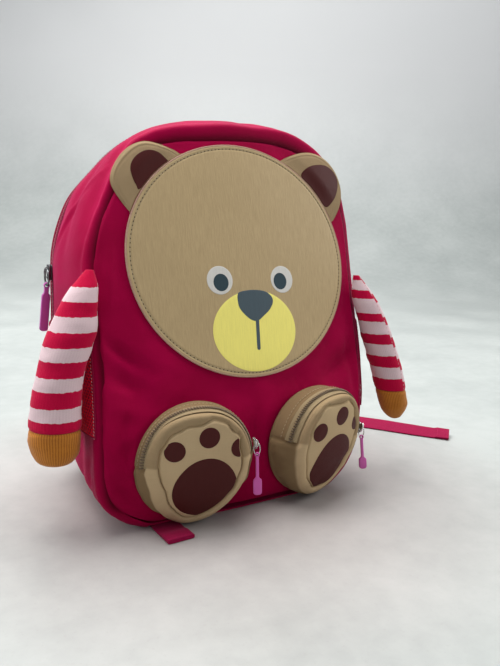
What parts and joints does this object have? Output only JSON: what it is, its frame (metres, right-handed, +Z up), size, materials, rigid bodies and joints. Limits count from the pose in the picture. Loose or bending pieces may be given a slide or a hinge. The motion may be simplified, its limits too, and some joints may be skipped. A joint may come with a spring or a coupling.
{
  "type": "child's backpack",
  "caption": "Child's backpack with a stitched bear face on the leaning front, zipped paw pockets, stuffed striped arms, mesh side pockets and padded shoulder straps.",
  "frame": {"origin": "middle of the base on the floor, halfway along the body's depth", "axes": "+Z up, -Y towards the viewer who faces the bear face, +X to that viewer's right"},
  "size_m": [0.437, 0.2154, 0.2953],
  "materials": {
    "body_cloth": "woven polyester, satin",
    "face_leather": "grained, matt",
    "tan_cloth": "brushed, matt",
    "zip_tape": "woven tape with nylon coil",
    "tan_zip": "woven tape with nylon coil",
    "dark_metal": "gunmetal, satin",
    "bright_metal": "bright plated",
    "pull_plastic": "moulded, semi gloss",
    "knit": "brushed jersey, red and white stripes",
    "felt": "ribbed plush",
    "mesh": "knitted mesh",
    "webbing": "ribbed woven webbing",
    "strap_cloth": "woven polyester over foam, satin",
    "buckle_plastic": "moulded, semi gloss"
  },
  "bodies": {
    "root": {"front_panel": "body_cloth", "gusset": "body_cloth", "main_zip": "zip_tape", "back_gusset": "body_cloth", "back_panel": "body_cloth", "face_disc": "face_leather", "main_slider": "dark_metal", "main_ring": "dark_metal", "main_pull": "pull_plastic", "grab_loop": "webbing", "ear_left": "tan_cloth", "paw_pocket_left": "tan_cloth", "paw_zip_left": "tan_zip", "arm_left": "knit", "hand_left": "felt", "mesh_pocket_left": "mesh", "shoulder_strap_left": "strap_cloth", "webbing_left": "webbing", "paw_slider_left": "bright_metal", "paw_pull_left": "pull_plastic", "buckle_left": "buckle_plastic", "ear_right": "tan_cloth", "paw_pocket_right": "tan_cloth", "paw_zip_right": "tan_zip", "arm_right": "knit", "hand_right": "felt", "mesh_pocket_right": "mesh", "shoulder_strap_right": "strap_cloth", "webbing_right": "webbing", "paw_slider_right": "bright_metal", "paw_pull_right": "pull_plastic", "buckle_right": "buckle_plastic"}
  },
  "joints": []
}
